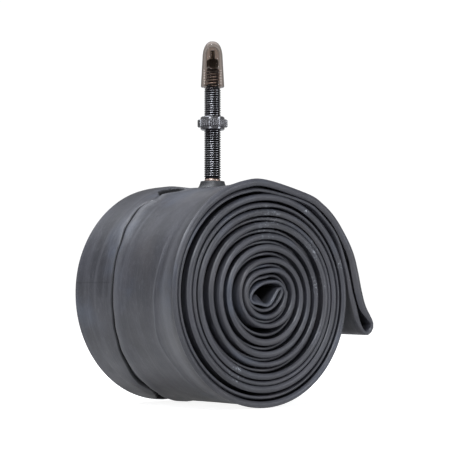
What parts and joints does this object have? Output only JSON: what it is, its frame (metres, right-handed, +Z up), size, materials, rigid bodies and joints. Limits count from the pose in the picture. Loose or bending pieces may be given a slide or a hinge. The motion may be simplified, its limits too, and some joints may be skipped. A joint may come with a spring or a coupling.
{
  "type": "bicycle inner tube",
  "caption": "Bicycle inner tube pressed flat, doubled and rolled up, with an upright threaded needle valve, ribbed rim nut and dust cap.",
  "frame": {"origin": "middle of the small flat that the roll stands on, below the valve", "axes": "+Z up the valve, Y along the roll's axis with the spiral end facing -Y, folded tail towards +X"},
  "size_m": [0.0903, 0.059, 0.1295],
  "materials": {
    "butyl": "satin",
    "moulded_rubber": "satin",
    "dark_metal": "satin",
    "brass": "satin",
    "seal_rubber": "matte",
    "smoked_plastic": "gloss"
  },
  "bodies": {
    "tube_and_stem": {"tube": "butyl", "valve_base": "moulded_rubber", "valve_stem": "dark_metal", "core_body": "dark_metal", "core_seal": "seal_rubber"},
    "rim_nut": {"rim_nut": "dark_metal"},
    "dust_cap": {"dust_cap": "smoked_plastic"},
    "tip_nut": {"tip_nut": "brass"},
    "valve_pin": {"plunger": "brass", "plunger_seal": "seal_rubber"}
  },
  "joints": [
    {"name": "rim_nut_travel", "type": "slide", "parent": "tube_and_stem", "child": "rim_nut", "axis": [0, 0, 1], "range_m": [-0.0181, 0.0102]},
    {"name": "dust_cap_lift", "type": "slide", "parent": "tube_and_stem", "child": "dust_cap", "axis": [0, 0, 1], "range_m": [0, 0.018]},
    {"name": "tip_nut_turn", "type": "hinge", "parent": "tube_and_stem", "child": "tip_nut", "pos_m": [0, 0, 0.11956], "axis": [0, 0, 1], "range_deg": [0, 1081]},
    {"name": "valve_pin_drop", "type": "slide", "parent": "tube_and_stem", "child": "valve_pin", "axis": [0, 0, -1], "range_m": [0, 0.0015]}
  ],
  "couplings": [
    {"joint": "tip_nut_turn", "follows": "valve_pin_drop", "rad_per_m": 12566}
  ]
}
